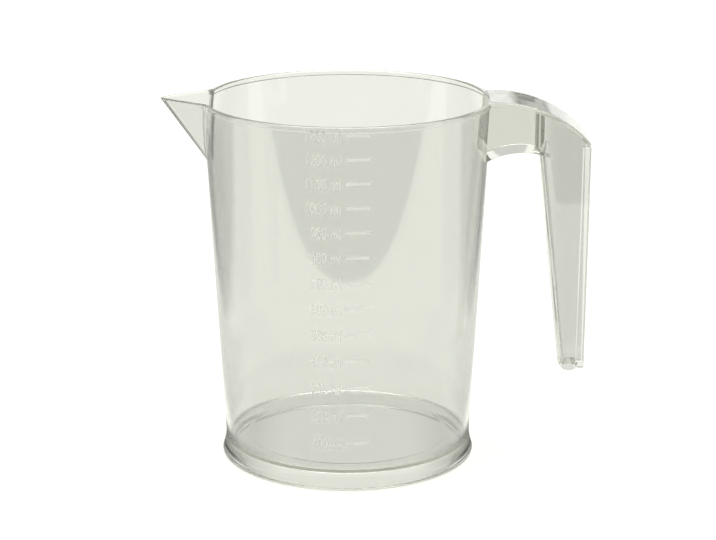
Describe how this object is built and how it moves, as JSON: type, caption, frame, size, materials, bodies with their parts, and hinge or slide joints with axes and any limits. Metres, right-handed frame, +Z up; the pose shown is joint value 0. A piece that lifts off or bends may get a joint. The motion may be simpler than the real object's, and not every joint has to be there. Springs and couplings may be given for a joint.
{
  "type": "measuring jug",
  "caption": "Clear plastic measuring jug with a conical body on a low foot, a pointed pouring spout, a hook handle with a free lower end and a raised millilitre scale on the front.",
  "frame": {"origin": "centre of the foot's lower face, on the vessel's axis, in the plane of the table", "axes": "+Z up along the vessel's axis, +X towards the handle, -X towards the spout, -Y towards the scale on the front"},
  "size_m": [0.177, 0.1204, 0.1534],
  "materials": {
    "clear_plastic": "clear moulded styrene plastic, faintly green-grey, glossy",
    "scale_plastic": "the same plastic, slightly frosted where the scale stands out of the wall"
  },
  "bodies": {
    "root": {"vessel_wall": "clear_plastic", "floor_corner": "clear_plastic", "floor_plate": "clear_plastic", "foot_ring": "clear_plastic", "rim_band": "clear_plastic", "spout_side_front": "clear_plastic", "spout_side_back": "clear_plastic", "handle_roof": "clear_plastic", "bridge_block": "clear_plastic", "grip_channel": "clear_plastic", "grip_lip_front": "clear_plastic", "grip_lip_back": "clear_plastic", "scale_marks": "scale_plastic"}
  },
  "joints": []
}
